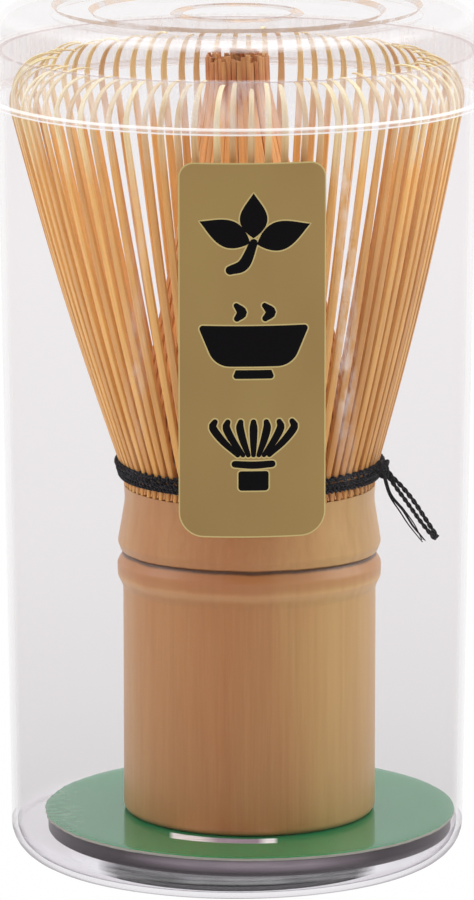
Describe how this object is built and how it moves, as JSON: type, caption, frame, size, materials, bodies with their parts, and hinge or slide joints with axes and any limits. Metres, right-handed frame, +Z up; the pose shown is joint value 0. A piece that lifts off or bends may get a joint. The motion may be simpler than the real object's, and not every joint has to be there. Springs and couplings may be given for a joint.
{
  "type": "bamboo tea whisk in a case",
  "caption": "Bamboo whisk for powdered tea, its prongs tied with dark thread, standing on a green card in a clear lidded case with a label.",
  "frame": {"origin": "middle of the case's foot, on the surface that it stands on", "axes": "+Z up along the case, -Y to the front, where the label is, +X to the right"},
  "size_m": [0.075, 0.075, 0.1294],
  "materials": {
    "clear_plastic": "clear moulded plastic",
    "green_card": "printed card",
    "label_foil": "satin gold paper with black print",
    "bamboo_culm": "polished bamboo skin",
    "bamboo_prong": "split and shaved bamboo",
    "black_thread": "twisted cotton thread"
  },
  "bodies": {
    "case": {"case_cup": "clear_plastic", "label_sticker": "label_foil"},
    "card": {"base_card": "green_card"},
    "whisk": {"culm_handle": "bamboo_culm", "inner_prongs_01": "bamboo_prong", "inner_prongs_02": "bamboo_prong", "inner_prongs_03": "bamboo_prong", "inner_prongs_04": "bamboo_prong", "inner_prongs_05": "bamboo_prong", "inner_prongs_06": "bamboo_prong", "inner_prongs_07": "bamboo_prong", "inner_prongs_08": "bamboo_prong", "inner_prongs_09": "bamboo_prong", "inner_prongs_10": "bamboo_prong", "inner_prongs_11": "bamboo_prong", "inner_prongs_12": "bamboo_prong", "inner_prongs_13": "bamboo_prong", "inner_prongs_14": "bamboo_prong", "inner_prongs_15": "bamboo_prong", "inner_prongs_16": "bamboo_prong", "thread_wrap": "black_thread", "thread_knot": "black_thread", "thread_end_long": "black_thread", "thread_end_short": "black_thread"},
    "lid": {"case_lid": "clear_plastic"},
    "prongs_01": {"outer_prongs_01": "bamboo_prong"},
    "prongs_02": {"outer_prongs_02": "bamboo_prong"},
    "prongs_03": {"outer_prongs_03": "bamboo_prong"},
    "prongs_04": {"outer_prongs_04": "bamboo_prong"},
    "prongs_05": {"outer_prongs_05": "bamboo_prong"},
    "prongs_06": {"outer_prongs_06": "bamboo_prong"},
    "prongs_07": {"outer_prongs_07": "bamboo_prong"},
    "prongs_08": {"outer_prongs_08": "bamboo_prong"},
    "prongs_09": {"outer_prongs_09": "bamboo_prong"},
    "prongs_10": {"outer_prongs_10": "bamboo_prong"},
    "prongs_11": {"outer_prongs_11": "bamboo_prong"},
    "prongs_12": {"outer_prongs_12": "bamboo_prong"},
    "prongs_13": {"outer_prongs_13": "bamboo_prong"},
    "prongs_14": {"outer_prongs_14": "bamboo_prong"},
    "prongs_15": {"outer_prongs_15": "bamboo_prong"},
    "prongs_16": {"outer_prongs_16": "bamboo_prong"}
  },
  "joints": [
    {"name": "card_lift", "type": "slide", "parent": "case", "child": "card", "axis": [0, 0, 1], "range_m": [0, 0.13]},
    {"name": "whisk_lift", "type": "slide", "parent": "card", "child": "whisk", "axis": [0, 0, 1], "range_m": [0, 0.13]},
    {"name": "lid_lift", "type": "slide", "parent": "whisk", "child": "lid", "axis": [0, 0, 1], "range_m": [0, 0.03]},
    {"name": "prong_flex_01", "type": "hinge", "parent": "whisk", "child": "prongs_01", "pos_m": [0.01985, 0, 0.05685], "axis": [0, -1, 0], "range_deg": [0, 3], "stiffness_Nm_per_rad": 0.02},
    {"name": "prong_flex_02", "type": "hinge", "parent": "whisk", "child": "prongs_02", "pos_m": [0.01848, 0.00687, 0.05685], "axis": [0.3827, -0.9239, 0], "range_deg": [0, 3], "stiffness_Nm_per_rad": 0.02},
    {"name": "prong_flex_03", "type": "hinge", "parent": "whisk", "child": "prongs_03", "pos_m": [0.01459, 0.01269, 0.05685], "axis": [0.7071, -0.7071, 0], "range_deg": [0, 3], "stiffness_Nm_per_rad": 0.02},
    {"name": "prong_flex_04", "type": "hinge", "parent": "whisk", "child": "prongs_04", "pos_m": [0.00877, 0.01658, 0.05685], "axis": [0.9239, -0.3827, 0], "range_deg": [0, 3], "stiffness_Nm_per_rad": 0.02},
    {"name": "prong_flex_05", "type": "hinge", "parent": "whisk", "child": "prongs_05", "pos_m": [0.0019, 0.01795, 0.05685], "axis": [1, 0, 0], "range_deg": [0, 3], "stiffness_Nm_per_rad": 0.02},
    {"name": "prong_flex_06", "type": "hinge", "parent": "whisk", "child": "prongs_06", "pos_m": [-0.00497, 0.01658, 0.05685], "axis": [0.9239, 0.3827, 0], "range_deg": [0, 3], "stiffness_Nm_per_rad": 0.02},
    {"name": "prong_flex_07", "type": "hinge", "parent": "whisk", "child": "prongs_07", "pos_m": [-0.01079, 0.01269, 0.05685], "axis": [0.7071, 0.7071, 0], "range_deg": [0, 3], "stiffness_Nm_per_rad": 0.02},
    {"name": "prong_flex_08", "type": "hinge", "parent": "whisk", "child": "prongs_08", "pos_m": [-0.01468, 0.00687, 0.05685], "axis": [0.3827, 0.9239, 0], "range_deg": [0, 3], "stiffness_Nm_per_rad": 0.02},
    {"name": "prong_flex_09", "type": "hinge", "parent": "whisk", "child": "prongs_09", "pos_m": [-0.01605, 0, 0.05685], "axis": [0, 1, 0], "range_deg": [0, 3], "stiffness_Nm_per_rad": 0.02},
    {"name": "prong_flex_10", "type": "hinge", "parent": "whisk", "child": "prongs_10", "pos_m": [-0.01468, -0.00687, 0.05685], "axis": [-0.3827, 0.9239, 0], "range_deg": [0, 3], "stiffness_Nm_per_rad": 0.02},
    {"name": "prong_flex_11", "type": "hinge", "parent": "whisk", "child": "prongs_11", "pos_m": [-0.01079, -0.01269, 0.05685], "axis": [-0.7071, 0.7071, 0], "range_deg": [0, 3], "stiffness_Nm_per_rad": 0.02},
    {"name": "prong_flex_12", "type": "hinge", "parent": "whisk", "child": "prongs_12", "pos_m": [-0.00497, -0.01658, 0.05685], "axis": [-0.9239, 0.3827, 0], "range_deg": [0, 3], "stiffness_Nm_per_rad": 0.02},
    {"name": "prong_flex_13", "type": "hinge", "parent": "whisk", "child": "prongs_13", "pos_m": [0.0019, -0.01795, 0.05685], "axis": [-1, 0, 0], "range_deg": [0, 3], "stiffness_Nm_per_rad": 0.02},
    {"name": "prong_flex_14", "type": "hinge", "parent": "whisk", "child": "prongs_14", "pos_m": [0.00877, -0.01658, 0.05685], "axis": [-0.9239, -0.3827, 0], "range_deg": [0, 3], "stiffness_Nm_per_rad": 0.02},
    {"name": "prong_flex_15", "type": "hinge", "parent": "whisk", "child": "prongs_15", "pos_m": [0.01459, -0.01269, 0.05685], "axis": [-0.7071, -0.7071, 0], "range_deg": [0, 3], "stiffness_Nm_per_rad": 0.02},
    {"name": "prong_flex_16", "type": "hinge", "parent": "whisk", "child": "prongs_16", "pos_m": [0.01848, -0.00687, 0.05685], "axis": [-0.3827, -0.9239, 0], "range_deg": [0, 3], "stiffness_Nm_per_rad": 0.02}
  ]
}
